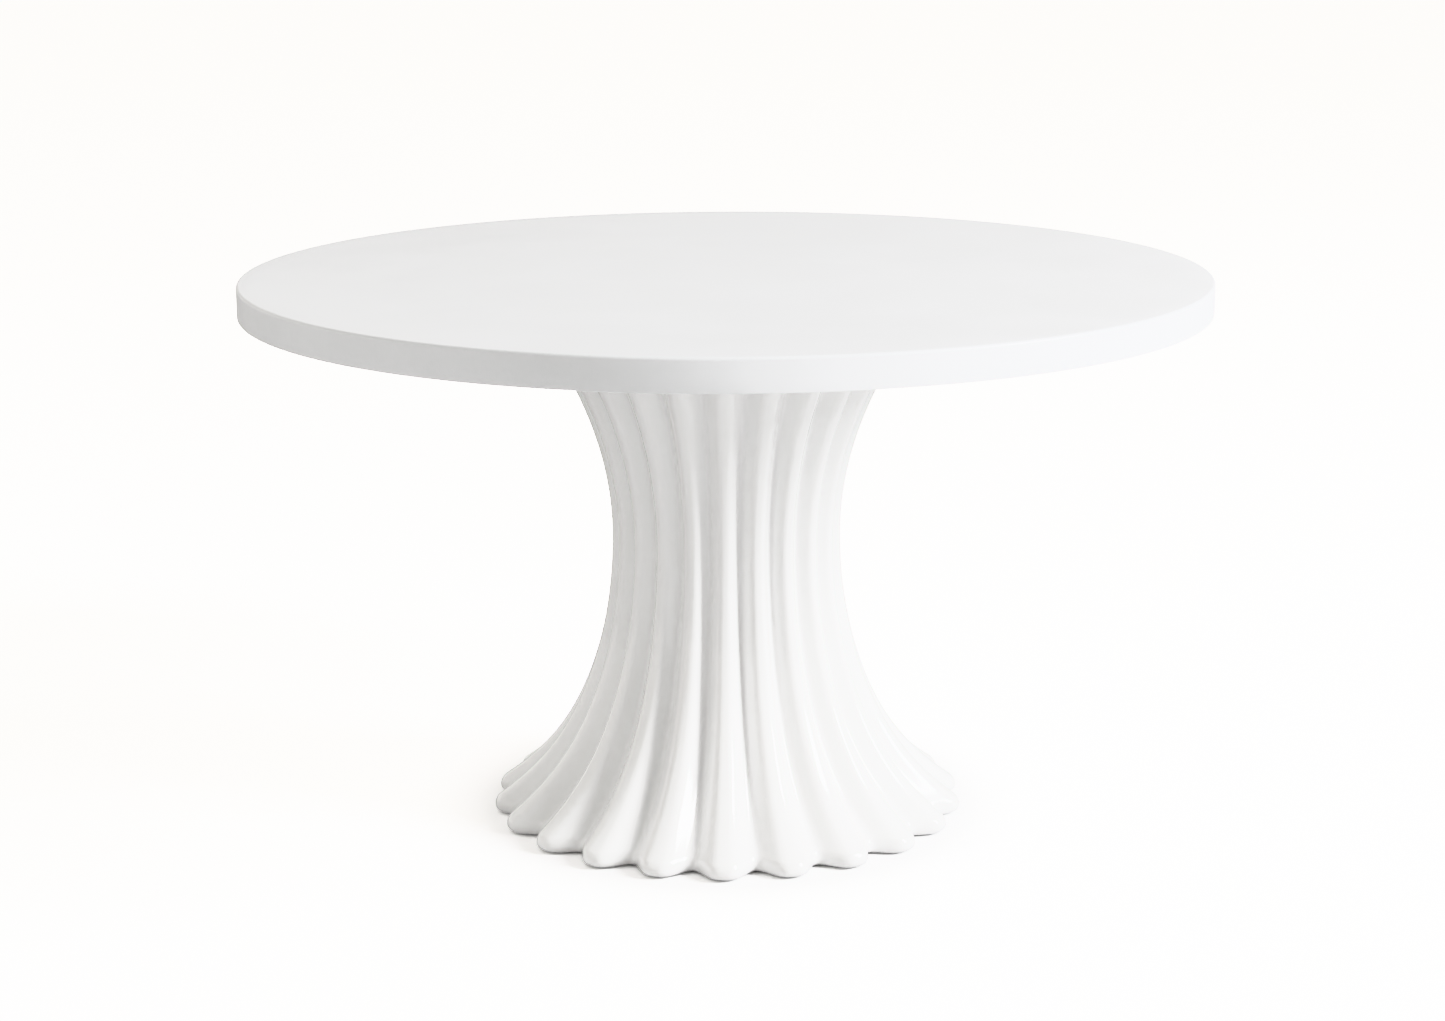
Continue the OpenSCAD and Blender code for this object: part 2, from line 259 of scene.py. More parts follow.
# ---------------------------------------------------------------- material helpers

class Nodes:
    """A short way to write a material's node tree."""

    def __init__(self, name):
        self.material = bpy.data.materials.new(name)
        self.material.use_nodes = True
        self.tree = self.material.node_tree
        self.tree.nodes.clear()
        self.shader = self.add("ShaderNodeBsdfPrincipled")
        output = self.add("ShaderNodeOutputMaterial")
        self.join(self.shader, "BSDF", output, "Surface")
        self.place = self.add("ShaderNodeTexCoord")

    def add(self, kind, **settings):
        node = self.tree.nodes.new(kind)
        for key, value in settings.items():
            setattr(node, key, value)
        return node

    def join(self, a, out, b, into):
        self.tree.links.new(a.outputs[out], b.inputs[into])

    def stretched(self, scale):
        """Object coordinates, in metres, multiplied by scale along x, y and z."""
        mapping = self.add("ShaderNodeMapping")
        mapping.inputs["Scale"].default_value = scale
        self.join(self.place, "Object", mapping, "Vector")
        return mapping

    def noise(self, scale, detail=3.0, rough=0.5, stretch=(1, 1, 1), warp=0.0):
        node = self.add("ShaderNodeTexNoise")
        node.inputs["Scale"].default_value = scale
        node.inputs["Detail"].default_value = detail
        node.inputs["Roughness"].default_value = rough
        node.inputs["Distortion"].default_value = warp
        self.join(self.stretched(stretch), "Vector", node, "Vector")
        return node

    def ramp(self, source, stops, out="Fac"):
        """A colour ramp over source; stops are (position, colour or grey)."""
        node = self.add("ShaderNodeValToRGB")
        elements = node.color_ramp.elements
        while len(elements) < len(stops):
            elements.new(0.5)
        for element, (position, colour) in zip(elements, stops):
            element.position = position
            element.color = (*colour, 1) if isinstance(colour, tuple) else (colour,) * 3 + (1,)
        self.join(source, out, node, "Fac")
        return node

    def spread(self, source, low, high, out="Fac", source_low=0.3, source_high=0.7):
        """Source, mapped onto low..high."""
        node = self.add("ShaderNodeMapRange")
        node.inputs["From Min"].default_value = source_low
        node.inputs["From Max"].default_value = source_high
        node.inputs["To Min"].default_value = low
        node.inputs["To Max"].default_value = high
        self.join(source, out, node, "Value")
        return node

    def bump(self, source, height, below=None):
        """Bump of that height in metres; below is a bump that it adds to."""
        node = self.add("ShaderNodeBump")
        node.inputs["Distance"].default_value = height
        self.join(source, "Fac", node, "Height")
        if below is not None:
            self.join(below, "Normal", node, "Normal")
        self.join(node, "Normal", self.shader, "Normal")
        return node

    def mix(self, factor, a, b, factor_out="Fac", b_out="Color", mode="MIX"):
        node = self.add("ShaderNodeMix", data_type="RGBA", blend_type=mode)
        if isinstance(factor, (int, float)):
            node.inputs["Factor"].default_value = factor
        else:
            self.join(factor, factor_out, node, "Factor")
        self.tree.links.new(a.outputs["Color"], node.inputs["A"])
        self.tree.links.new(b.outputs[b_out], node.inputs["B"])
        return node

    def set(self, **values):
        for key, value in values.items():
            self.shader.inputs[key.replace("_", " ")].default_value = value


# ---------------------------------------------------------------- materials

def white_lacquer():
    """Satin white lacquer sprayed on board: a soft cloudy tone, orange peel and faint rubbing."""
    n = Nodes("white_lacquer")
    clouds = n.noise(3.2, detail=4, rough=0.55, warp=0.6)
    tone = n.ramp(clouds, [(0.30, (0.842, 0.848, 0.862)), (0.70, (0.887, 0.893, 0.907))])
    n.join(tone, "Color", n.shader, "Base Color")
    rubbed = n.noise(9.0, detail=6, rough=0.6, warp=0.3)
    n.join(n.spread(rubbed, 0.30, 0.42), "Result", n.shader, "Roughness")
    flow = n.bump(n.noise(26, detail=2), 0.00012)
    n.bump(n.noise(620, detail=2), 0.000012, below=flow)
    n.set(Specular_IOR_Level=0.45, Coat_Weight=0.15, Coat_Roughness=0.25)
    return n.material


def white_gelcoat():
    """Glossy gelcoat, rubbed and polished by hand: long soft waves and a fine orange peel."""
    n = Nodes("white_gelcoat")
    clouds = n.noise(6.0, detail=4, rough=0.55, warp=0.4)
    tone = n.ramp(clouds, [(0.30, (0.886, 0.886, 0.884)), (0.70, (0.914, 0.914, 0.913))])
    n.join(tone, "Color", n.shader, "Base Color")
    polished = n.noise(14.0, detail=5, rough=0.6)
    n.join(n.spread(polished, 0.12, 0.20), "Result", n.shader, "Roughness")
    waves = n.bump(n.noise(22, detail=1.5, stretch=(1, 1, 0.35)), 0.00035)
    n.bump(n.noise(480, detail=2), 0.000010, below=waves)
    n.set(Specular_IOR_Level=0.5, Coat_Weight=0.6, Coat_Roughness=0.04)
    return n.material


def fibreboard():
    n = Nodes("fibreboard")
    fibres = n.noise(900, detail=5, rough=0.7)
    tone = n.ramp(fibres, [(0.35, (0.34, 0.235, 0.150)), (0.65, (0.43, 0.315, 0.215))])
    patches = n.noise(14, detail=3)
    shade = n.ramp(patches, [(0.3, 0.86), (0.7, 1.0)])
    n.join(n.mix(1.0, tone, shade, mode="MULTIPLY"), "Result", n.shader, "Base Color")
    n.join(n.spread(fibres, 0.62, 0.80), "Result", n.shader, "Roughness")
    n.bump(fibres, 0.00006)
    return n.material


def plywood():
    """Birch plywood: long grain on its faces, stripes of the plies on its edges."""
    n = Nodes("plywood")
    figure = n.noise(7, detail=6, rough=0.6, stretch=(0.12, 1.0, 1.0), warp=1.2)
    face = n.ramp(figure, [(0.30, (0.50, 0.345, 0.205)), (0.55, (0.62, 0.455, 0.285)),
                           (0.75, (0.66, 0.50, 0.335))])
    pores = n.noise(420, detail=3, stretch=(0.05, 1.0, 1.0))
    pore_tone = n.ramp(pores, [(0.40, 0.80), (0.55, 1.0)])
    grain = n.mix(1.0, face, pore_tone, mode="MULTIPLY")
    plies = n.add("ShaderNodeTexWave", wave_type="BANDS", bands_direction="Z", wave_profile="SIN")
    plies.inputs["Scale"].default_value = 110
    plies.inputs["Distortion"].default_value = 0.4
    n.join(n.place, "Object", plies, "Vector")
    edge = n.ramp(plies, [(0.35, (0.33, 0.215, 0.125)), (0.60, (0.63, 0.48, 0.31))])
    normal = n.add("ShaderNodeNewGeometry")
    split = n.add("ShaderNodeSeparateXYZ")
    n.join(normal, "Normal", split, "Vector")
    upright = n.add("ShaderNodeMath", operation="ABSOLUTE")
    n.join(split, "Z", upright, 0)
    side = n.ramp(upright, [(0.45, 0.0), (0.55, 1.0)], out="Value")
    colour = n.mix(side, edge, grain, factor_out="Color", b_out="Result")
    n.join(colour, "Result", n.shader, "Base Color")
    n.join(n.spread(pores, 0.50, 0.68), "Result", n.shader, "Roughness")
    n.bump(pores, 0.00005)
    return n.material


def resin():
    """Laminating resin with chopped glass strands."""
    n = Nodes("resin")
    strands = n.noise(160, detail=4, rough=0.7, warp=3.0)
    tone = n.ramp(strands, [(0.35, (0.40, 0.34, 0.20)), (0.65, (0.66, 0.61, 0.46))])
    n.join(tone, "Color", n.shader, "Base Color")
    n.join(n.spread(strands, 0.25, 0.50), "Result", n.shader, "Roughness")
    n.bump(strands, 0.0008)
    n.set(Subsurface_Weight=0.08, Subsurface_Scale=0.004)
    return n.material


def powder_coat():
    n = Nodes("powder_coat")
    grain = n.noise(1100, detail=3, rough=0.6)
    dust = n.noise(11, detail=6, rough=0.65, warp=0.5)
    tone = n.ramp(dust, [(0.30, (0.012, 0.012, 0.013)), (0.72, (0.030, 0.030, 0.031))])
    n.join(tone, "Color", n.shader, "Base Color")
    n.join(n.spread(dust, 0.42, 0.58), "Result", n.shader, "Roughness")
    n.bump(grain, 0.00005)
    return n.material


def turned_steel():
    """Plain machined steel: fine marks across the axis, and patches of oil."""
    n = Nodes("turned_steel")
    marks = n.noise(55, detail=5, rough=0.7, stretch=(1, 1, 40))
    oil = n.noise(35, detail=4, rough=0.6, warp=0.8)
    tone = n.ramp(oil, [(0.30, (0.36, 0.355, 0.35)), (0.70, (0.52, 0.52, 0.525))])
    n.join(tone, "Color", n.shader, "Base Color")
    n.join(n.spread(marks, 0.24, 0.42), "Result", n.shader, "Roughness")
    n.bump(marks, 0.00002)
    n.set(Metallic=1.0)
    return n.material


def zinc():
    """Bright zinc plating with a faint blue and yellow cast."""
    n = Nodes("zinc")
    cast = n.noise(90, detail=4, rough=0.6, warp=0.8)
    tone = n.ramp(cast, [(0.28, (0.56, 0.57, 0.61)), (0.52, (0.66, 0.66, 0.66)),
                         (0.74, (0.68, 0.65, 0.57))])
    n.join(tone, "Color", n.shader, "Base Color")
    dull = n.noise(240, detail=5, rough=0.65)
    n.join(n.spread(dull, 0.20, 0.38), "Result", n.shader, "Roughness")
    n.bump(dull, 0.00001)
    n.set(Metallic=1.0)
    return n.material


def nylon():
    n = Nodes("black_nylon")
    grain = n.noise(1500, detail=2)
    scuffs = n.noise(120, detail=5, rough=0.7, warp=0.6)
    tone = n.ramp(scuffs, [(0.35, (0.014, 0.014, 0.015)), (0.72, (0.034, 0.034, 0.035))])
    n.join(tone, "Color", n.shader, "Base Color")
    n.join(n.spread(scuffs, 0.40, 0.60), "Result", n.shader, "Roughness")
    n.bump(grain, 0.00002)
    return n.material


LACQUER = white_lacquer()
GELCOAT = white_gelcoat()
FIBREBOARD = fibreboard()
PLYWOOD = plywood()
RESIN = resin()
POWDER_COAT = powder_coat()
TURNED_STEEL = turned_steel()
ZINC = zinc()
NYLON = nylon()


# ---------------------------------------------------------------- pedestal shell

def flare_t(z):
    return (WAIST_Z - z) / (WAIST_Z - FOOT_Z)


def crest_r(z):
    """Radius over the ribs at height z."""
    if z > WAIST_Z:
        return WAIST_R + (z - WAIST_Z) ** 2 / (2 * CROWN_CURVE_R)
    t = flare_t(z)
    return WAIST_R + (FOOT_R - WAIST_R) * (FOOT_BLEND * t ** 2 + (1 - FOOT_BLEND) * t ** 6)


def crest_slope(z):
    """How fast that radius changes with height, as a positive number."""
    if z > WAIST_Z:
        return (z - WAIST_Z) / CROWN_CURVE_R
    t = flare_t(z)
    rise = (FOOT_R - WAIST_R) / (WAIST_Z - FOOT_Z)
    return rise * (2 * FOOT_BLEND * t + 6 * (1 - FOOT_BLEND) * t ** 5)


def wall_at(z):
    return WALL_T * math.sqrt(1 + crest_slope(z) ** 2)


def flute(angles):
    """Share of the crest radius that is left: 1 on a rib, least in a flute."""
    return 1 - RIB_DEPTH * ((1 - np.cos(RIB_COUNT * angles)) / 2) ** RIB_FULLNESS


def rib_angles(steps=36, close=0.0005):
    """Angles across one rib, closest together where the surface turns most, and at the seams."""
    a = np.linspace(-math.pi / RIB_COUNT, math.pi / RIB_COUNT, 2001)
    slope = np.gradient(flute(a), a)
    turning = np.abs(np.gradient(np.arctan(slope), a)) + 3
    share = np.concatenate([[0], np.cumsum((turning[1:] + turning[:-1]) / 2)])
    even = np.interp(np.linspace(0, share[-1], steps + 1), share, a)
    return np.concatenate([[even[0], even[0] + close], even[1:-1], [even[-1] - close, even[-1]]])


def segment_angles(number):
    """Angles of a segment's points: from the flute before its first rib to the flute after its last."""
    rib = rib_angles()
    pitch = 2 * math.pi / RIB_COUNT
    first = (number - 1) * SEGMENT_RIBS
    ribs = [rib + (first + k) * pitch for k in range(SEGMENT_RIBS)]
    return np.concatenate([r[:-1] for r in ribs] + [ribs[-1][-1:]])


def fluted_segment(outer, inner, angles):
    """A curved, fluted panel. outer and inner list (radius over the ribs, distance inwards, height)."""
    share = flute(angles)
    loop = outer + inner[::-1]
    rings = []
    for crest, inwards, z in loop:
        r = crest * share - inwards
        rings.append(np.stack([r * np.sin(angles), -r * np.cos(angles), np.full(len(angles), z)], -1))
    n, m = len(loop), len(angles)
    faces = []
    for i in range(n):
        k = (i + 1) % n
        faces += [(i * m + j, k * m + j, k * m + j + 1, i * m + j + 1) for j in range(m - 1)]
    a, b = 0, n - 1
    while b - a > 1:
        near_a = abs(loop[a + 1][2] - loop[b][2]) <= abs(loop[b - 1][2] - loop[a][2])
        tri = (a, b, a + 1) if near_a else (a, b, b - 1)
        faces.append(tuple(v * m for v in tri))
        faces.append(tuple(v * m + m - 1 for v in reversed(tri)))
        a, b = (a + 1, b) if near_a else (a, b - 1)
    return np.concatenate(rings), faces


def flare_heights(upper, lower, crowding=0.75):
    """Heights from the crown to the toe, in upper steps above the waist and lower steps below it."""
    heights = [CROWN_Z + (WAIST_Z - CROWN_Z) * i / upper for i in range(upper)]
    return heights + [WAIST_Z + (FOOT_Z - WAIST_Z) * (i / lower) ** crowding for i in range(lower + 1)]


def shell_section(toe=12):
    """The shell's section as two lists, from the top down: the outside with the toe, and the inside."""
    toe_start = math.atan(crest_slope(FOOT_Z))
    toe_x, toe_z = FOOT_R - TOE_R * math.cos(toe_start), FOOT_Z - TOE_R * math.sin(toe_start)
    under_r = toe_z - FLOOR_GAP
    outside = [(crest_r(z), 0, z) for z in flare_heights(56, 84)]
    for i in range(1, toe + 1):
        a = toe_start * (1 - i / toe)
        outside.append((toe_x + TOE_R * math.cos(a), 0, toe_z + TOE_R * math.sin(a)))
    for i in range(1, toe + 1):
        a = -math.pi / 2 * i / toe
        outside.append((toe_x + TOE_R + under_r * (math.cos(a) - 1), 0, toe_z + under_r * math.sin(a)))
    inside = [(crest_r(z), wall_at(z), z) for z in flare_heights(20, 30)]
    inside += [(FOOT_R, wall_at(FOOT_Z), FOOT_Z * 0.6), (FOOT_R, wall_at(FOOT_Z), FLOOR_GAP)]
    return outside, inside


def build_shell():
    outer, inner = shell_section()
    for number in range(1, SEGMENT_COUNT + 1):
        part = fluted_segment(outer, inner, segment_angles(number))
        panel = make_piece(f"fluted_panel_{number}", [part], GELCOAT, smooth_angle=50)
        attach(panel, "root")
        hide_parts(f"shell_segment_{number}")


build_shell()


# ---------------------------------------------------------------- table top

def build_top_board():
    """The full-size board: a softened upper arris, and a crisp lower edge where the rim is glued on."""
    r = TOP_R
    spans = [TOP_AXIS_R, r / 2, r - TOP_BORDER]
    section = [(x, TABLE_H) for x in spans]
    section += arc(r - ARRIS_R, TABLE_H - ARRIS_R, ARRIS_R, 90, 0, 10)
    section += [(r, BOARD_Z)] + [(x, BOARD_Z) for x in reversed(spans)]
    board = make_piece("lacquered_top", [turned(section, 384, closed=False)], LACQUER)
    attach(board, "root")
    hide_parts("top_board")


def build_rim_segment(i):
    """One arc of the rim, glued end to end to the next, with a small arris along its lower edges."""
    a0 = (i - 1) * 2 * math.pi / RIM_COUNT
    a1 = i * 2 * math.pi / RIM_COUNT
    inner, outer = TOP_R - RIM_W, TOP_R
    section = [(inner, BOARD_Z), (inner, CROWN_Z + RIM_CHAMFER), (inner + RIM_CHAMFER, CROWN_Z)]
    section += arc(outer - RIM_SOFT, CROWN_Z + RIM_SOFT, RIM_SOFT, -90, 0, 4)
    section += [(outer, BOARD_Z)]
    steps = 48
    points, faces, n = [], [], len(section)
    for k in range(steps + 1):
        a = a0 + (a1 - a0) * k / steps
        points += [(r * math.cos(a), r * math.sin(a), z) for r, z in section]
    for k in range(steps):
        for m in range(n):
            p, q = k * n + m, k * n + (m + 1) % n
            faces.append((p, p + n, q + n, q))
    faces.append(tuple(range(n)))
    faces.append(tuple(steps * n + m for m in reversed(range(n))))
    rim = make_piece(f"rim_{i}", [(points, faces)], LACQUER)
    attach(rim, "root")
    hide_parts(f"rim_segment_{i}")


build_top_board()
for number in range(1, RIM_COUNT + 1):
    build_rim_segment(number)


# ---------------------------------------------------------------- fasteners and feet

def place_piece(name, parts, material, body, slot, *nodes):
    """Make a piece, ride it on its body and hide the CAD nodes it is shown instead of."""
    piece = make_piece(name, parts, material)
    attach(piece, body)
    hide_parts(*nodes)


def threaded_rod(radius, pitch, low, high, steps=40, chamfer=1.0):
    """A helical thread with a chamfer at both ends: rings whose radius follows the turn."""
    depth = THREAD_DEPTH * pitch
    rows = max(ROWS_PER_TURN, int((high - low) / pitch * ROWS_PER_TURN))
    section = [(radius, high - (high - low) * i / rows) for i in range(rows + 1)]

    def radius_at(k, r, z, angles):
        turn = (z / pitch - angles / (2 * math.pi)) % 1.0
        groove = np.clip(np.abs(turn - 0.5) * 2.4 - 0.2, 0, 1)
        near_end = min(z - low, high - z) / (chamfer * pitch)
        end_r = radius - depth * (1 - min(1.0, near_end))
        return np.minimum(radius - depth * (1 - groove), end_r)

    return turned(section, steps, closed=False, radius_at=radius_at)


def hexagonal(width, low, high, hole, chamfer_top=True, chamfer_low=True, steps=72):
    """A hexagonal nut or collar: chamfered corners and a countersunk hole; no hole gives a head."""
    flat = width / 2
    corner = flat / math.cos(math.pi / 6)
    crown = NUT_CROWN * flat
    drop = (corner - crown) * math.tan(NUT_CHAMFER)
    top = high - drop if chamfer_top else high
    bottom = low + drop if chamfer_low else low
    section = [("cone", crown, high), ("hex", 1.0, top), ("hex", 1.0, (top + bottom) / 2),
               ("hex", 1.0, bottom), ("cone", crown, low)]
    if hole:
        sink = 0.08 * hole + 0.4 * MM
        section += [("round", hole + sink, low), ("round", hole, low + sink),
                    ("round", hole, high - sink), ("round", hole + sink, high)]
    else:
        section = [("round", crown * 0.5, high)] + section + [("round", crown * 0.5, low)]

    def hex_r(angles):
        return flat / np.cos((angles + math.pi / 6) % (math.pi / 3) - math.pi / 6)

    def radius_at(k, r, z, angles):
        kind, value, _ = section[k]
        if kind == "round":
            return np.full(len(angles), value)
        if kind == "cone":
            return np.minimum(hex_r(angles), value)
        return hex_r(angles)

    def height_at(k, r, z, angles):
        kind, _, level = section[k]
        if kind != "hex" or level == (top + bottom) / 2:
            return np.full(len(angles), level)
        lift = (corner - hex_r(angles)) * math.tan(NUT_CHAMFER)
        return level + lift if level == top else level - lift

    plain = [(value, level) for _, value, level in section]
    return turned(plain, steps, closed=bool(hole), radius_at=radius_at, height_at=height_at)


def ring(outer, inner, low, high, soft):
    """A washer or flange with softened outer edges."""
    section = [(inner, high)] + arc(outer - soft, high - soft, soft, 90, 0, 4)
    section += arc(outer - soft, low + soft, soft, 0, -90, 4) + [(inner, low)]
    return turned(section, 72)


def at_foot(number):
    turn = Matrix.Rotation(FEET_START + (number - 1) * 2 * math.pi / FOOT_COUNT, 4, "Z")
    return turn @ Matrix.Translation((FEET_CIRCLE_R, 0, 0))


def build_foot(number):
    """A moulded pad with a grip ring and eight ribs, and the threaded stud that stands in it."""
    r = PAD_R
    boss_r = r / 2
    rim_soft = 0.8 * MM
    section = [(SOCKET_R, PAD_H), (SOCKET_R + 0.4 * MM, PAD_H)]
    section += arc(boss_r - PAD_SOFT, PAD_H - PAD_SOFT, PAD_SOFT, 90, 0, 4)
    section += [(boss_r + 0.6 * MM, PAD_RIM_Z + 1.2 * MM), (boss_r + 2.4 * MM, PAD_RIM_Z)]
    section += arc(r - rim_soft, PAD_RIM_Z - rim_soft, rim_soft, 90, 0, 4)
    section += arc(r - PAD_SOFT, PAD_SOFT, PAD_SOFT, 0, -90, 4)
    section += [(r - 3 * MM, 0), (r - 3.4 * MM, PAD_GRIP_H), (3 * MM, PAD_GRIP_H), (PAD_AXIS_R, PAD_GRIP_H)]
    section += [(PAD_AXIS_R, SOCKET_Z), (SOCKET_R, SOCKET_Z)]
    parts = [turned(section, 72)]
    rib = wedge(boss_r + 0.4 * MM, r - 1.6 * MM, PAD_RIB_W, PAD_RIM_Z - 0.3 * MM,
                PAD_H - 1.6 * MM, PAD_RIM_Z + 0.5 * MM)
    for k in range(PAD_RIBS):
        parts.append(moved(rib, Matrix.Rotation(k * 2 * math.pi / PAD_RIBS, 4, "Z")))
    place = at_foot(number)
    place_piece(f"foot_pad_{number}", [moved(p, place) for p in parts], NYLON,
                f"pad_{number}", "black_nylon", f"leveller_pad_{number}")
    neck_top = PAD_H + 1 * MM
    neck = [(PAD_AXIS_R, neck_top), (STUD_NECK_R, neck_top), (STUD_NECK_R, STUD_LOW + 0.6 * MM),
            (STUD_NECK_R - 0.6 * MM, STUD_LOW), (PAD_AXIS_R, STUD_LOW)]
    stud = [threaded_rod(STUD_R, STUD_PITCH, PAD_H + 0.3 * MM, STUD_TOP),
            turned(neck, 40, closed=False),
            hexagonal(COLLAR_W, COLLAR_Z, COLLAR_Z + COLLAR_H, STUD_R - 0.4 * MM)]
    place_piece(f"foot_stud_{number}", [moved(p, place) for p in stud], ZINC,
                f"stud_{number}", "zinc_plate", f"leveller_stud_{number}")


def wedge(x0, x1, width, low, high_in, high_out):
    """A small rib along X whose top slopes from high_in to high_out."""
    h = width / 2
    points = [(x0, -h, low), (x0, h, low), (x0, h * 0.7, high_in), (x0, -h * 0.7, high_in),
              (x1, -h, low), (x1, h, low), (x1, h * 0.7, high_out), (x1, -h * 0.7, high_out)]
    return points, [(3, 2, 1, 0), (4, 5, 6, 7), (1, 5, 4, 0), (2, 6, 5, 1), (3, 7, 6, 2), (0, 4, 7, 3)]


def cross_head(profile, depth, arm, width):
    """A screw head that faces down, closed all round, with a cross-shaped hollow whose walls slope in."""
    h = width / 2
    rim = [(arm, -h), (arm, h), (h, h), (h, arm), (-h, arm), (-h, h), (-arm, h), (-arm, -h),
           (-h, -h), (-h, -arm), (h, -arm), (h, -h)]
    count, face_z = len(rim), profile[0][1]
    points = [(x, y, face_z) for x, y in rim]
    points += [(x * RECESS_TAPER, y * RECESS_TAPER, face_z + depth) for x, y in rim]
    faces = [((i + 1) % count, i, i + count, (i + 1) % count + count) for i in range(count)]
    faces.append(tuple(range(2 * count - 1, count - 1, -1)))
    start, steps = len(points), 4 * count
    first = math.atan2(rim[0][1], rim[0][0])
    for r, z in profile:
        turns = [first + 2 * math.pi * i / steps for i in range(steps)]
        points += [(r * math.cos(a), r * math.sin(a), z) for a in turns]
    for i in range(count):
        face_edge = [start + (4 * i + k) % steps for k in (4, 3, 2, 1, 0)]
        faces.append((i, (i + 1) % count, *face_edge))
    for level in range(len(profile) - 1):
        low = start + level * steps
        for i in range(steps):
            n = (i + 1) % steps
            faces.append((low + i, low + n, low + steps + n, low + steps + i))
    last = start + (len(profile) - 1) * steps
    faces.append(tuple(range(last, last + steps)))
    return points, faces


def wood_screw():
    """A countersunk screw, head down at CROWN_Z: a cross recess, a smooth neck and a coarse thread."""
    neck_z = CROWN_Z + SCREW_NECK_L
    profile = [(SCREW_HEAD_R - SCREW_HEAD_EDGE, CROWN_Z), (SCREW_HEAD_R, CROWN_Z + 0.2 * MM),
               (SCREW_R, CROWN_Z + SCREW_HEAD_H), (SCREW_NECK_R, CROWN_Z + 4 * MM),
               (SCREW_NECK_R, neck_z + 1 * MM)]
    head = cross_head(profile, RECESS_DEPTH, RECESS_ARM, RECESS_W)
    tip_z = CROWN_Z + SCREW_L - SCREW_TIP_L
    return [head, threaded_rod(SCREW_R, SCREW_PITCH, neck_z, tip_z, 20, 1.6)]


def place_set(name, parts, spots, material, slot, node):
    """A set of equal fasteners as one piece on the root body; spots say how many stand on which circle."""
    copies = [copy for part in parts for copy in on_circle(part, *spots)]
    place_piece(name, copies, material, "root", slot, node)


def build_disc_screws():
    spots = (DISC_SCREW_COUNT, DISC_SCREW_CIRCLE_R)
    place_set("mounting_disc_screws", wood_screw(), spots, ZINC, "zinc_plate", "disc_screws")


def build_flanged_nuts():
    """The feet's nuts: a flange under the base board and a barrel in it."""
    under = BASE_BOARD_Z
    bore_r = STUD_R + THREAD_GAP
    parts = [ring(TNUT_R, bore_r, under - TNUT_FLANGE_T, under, 0.5 * MM),
             ring(TNUT_BARREL_R, bore_r, under - OVERLAP, under + TNUT_BARREL_H, 0.4 * MM)]
    spots = (FOOT_COUNT, FEET_CIRCLE_R, FEET_START)
    place_set("flanged_nuts", parts, spots, ZINC, "zinc_plate", "leveller_tnuts")


def build_ballast_fasteners():
    """Bolts through the ballast plate and the base board, with washers and nuts under the board."""
    under = BASE_BOARD_Z
    spots = (BALLAST_BOLT_COUNT, BALLAST_CIRCLE_R, BALLAST_START)
    washer_low = under - WASHER_T
    washer = ring(M8_WASHER_R, M8_R + BOLT_GAP, washer_low, under, 0.35 * MM)
    place_set("ballast_bolt_washers", [washer], spots, ZINC, "zinc_plate", "ballast_washers")
    nut_low = washer_low - M8_NUT_H
    nut = hexagonal(M8_HEAD_W, nut_low, washer_low, M8_R)
    place_set("ballast_bolt_nuts", [nut], spots, ZINC, "zinc_plate", "ballast_nuts")
    bolt_low = nut_low - BOLT_END
    head_low = COLUMN_Z + M8_COLLAR_H
    bolt = [threaded_rod(M8_R, M8_PITCH, bolt_low, bolt_low + M8_THREAD_L),
            turned([(M8_CORE_R, COLUMN_Z + OVERLAP), (M8_CORE_R, bolt_low + M8_THREAD_L - 2 * MM)], 40,
                   closed=False),
            hexagonal(M8_HEAD_W, head_low, COLUMN_Z + M8_HEAD_H, 0, chamfer_low=False),
            turned([(M8_COLLAR_R - 0.2 * MM, head_low + 0.2 * MM), (M8_COLLAR_R, head_low),
                    (M8_COLLAR_R, COLUMN_Z)], 48, closed=False)]
    place_set("ballast_hex_bolts", bolt, spots, TURNED_STEEL, "bright_steel", "ballast_bolts")


def build_tie_rod():
    """The long rod, threaded at both ends, with its nut and large washer under the base board."""
    washer_low = BASE_BOARD_Z - ROD_WASHER_T
    washer = ring(ROD_WASHER_R, ROD_R + BOLT_GAP, washer_low, BASE_BOARD_Z, 0.7 * MM)
    place_piece("tie_rod_washer", [washer], ZINC, "root", "zinc_plate", "rod_washer")
    nut = hexagonal(ROD_NUT_W, washer_low - ROD_NUT_H, washer_low, ROD_NUT_HOLE_R)
    place_piece("tie_rod_nut", [nut], ZINC, "root", "zinc_plate", "rod_nut")
    low, high = ROD_LOW, PLATE_Z - ROD_TOP_GAP
    joint = 2 * MM
    core = [(ROD_CORE_R, high - ROD_TOP_THREAD_L + joint), (ROD_CORE_R, low + ROD_LOW_THREAD_L - joint)]
    rod = [threaded_rod(ROD_R, ROD_PITCH, low, low + ROD_LOW_THREAD_L),
           turned(core, 48, closed=False),
           threaded_rod(ROD_R, ROD_PITCH, high - ROD_TOP_THREAD_L, high)]
    place_piece("threaded_tie_rod", rod, TURNED_STEEL, "root", "bright_steel", "tie_rod")


def build_column():
    """The tube, the threaded boss in its top and the ring that centres its foot."""
    bore_r = COLUMN_R - COLUMN_WALL
    fit_r = bore_r - THREAD_GAP
    tube = ring(COLUMN_R, bore_r, COLUMN_Z, PLATE_Z, 0.5 * MM)
    place_piece("column", [tube], POWDER_COAT, "root", "black_steel", "column_tube")
    boss = ring(fit_r, ROD_R + THREAD_GAP, PLATE_Z - SOCKET_H, PLATE_Z, 0.6 * MM)
    place_piece("column_boss", [boss], TURNED_STEEL, "root", "bright_steel", "rod_socket")
    spigot = ring(fit_r, ROD_R + BOLT_GAP, COLUMN_Z, COLUMN_Z + SPIGOT_H, 0.8 * MM)
    place_piece("centring_ring", [spigot], TURNED_STEEL, "root", "bright_steel", "lower_spigot")


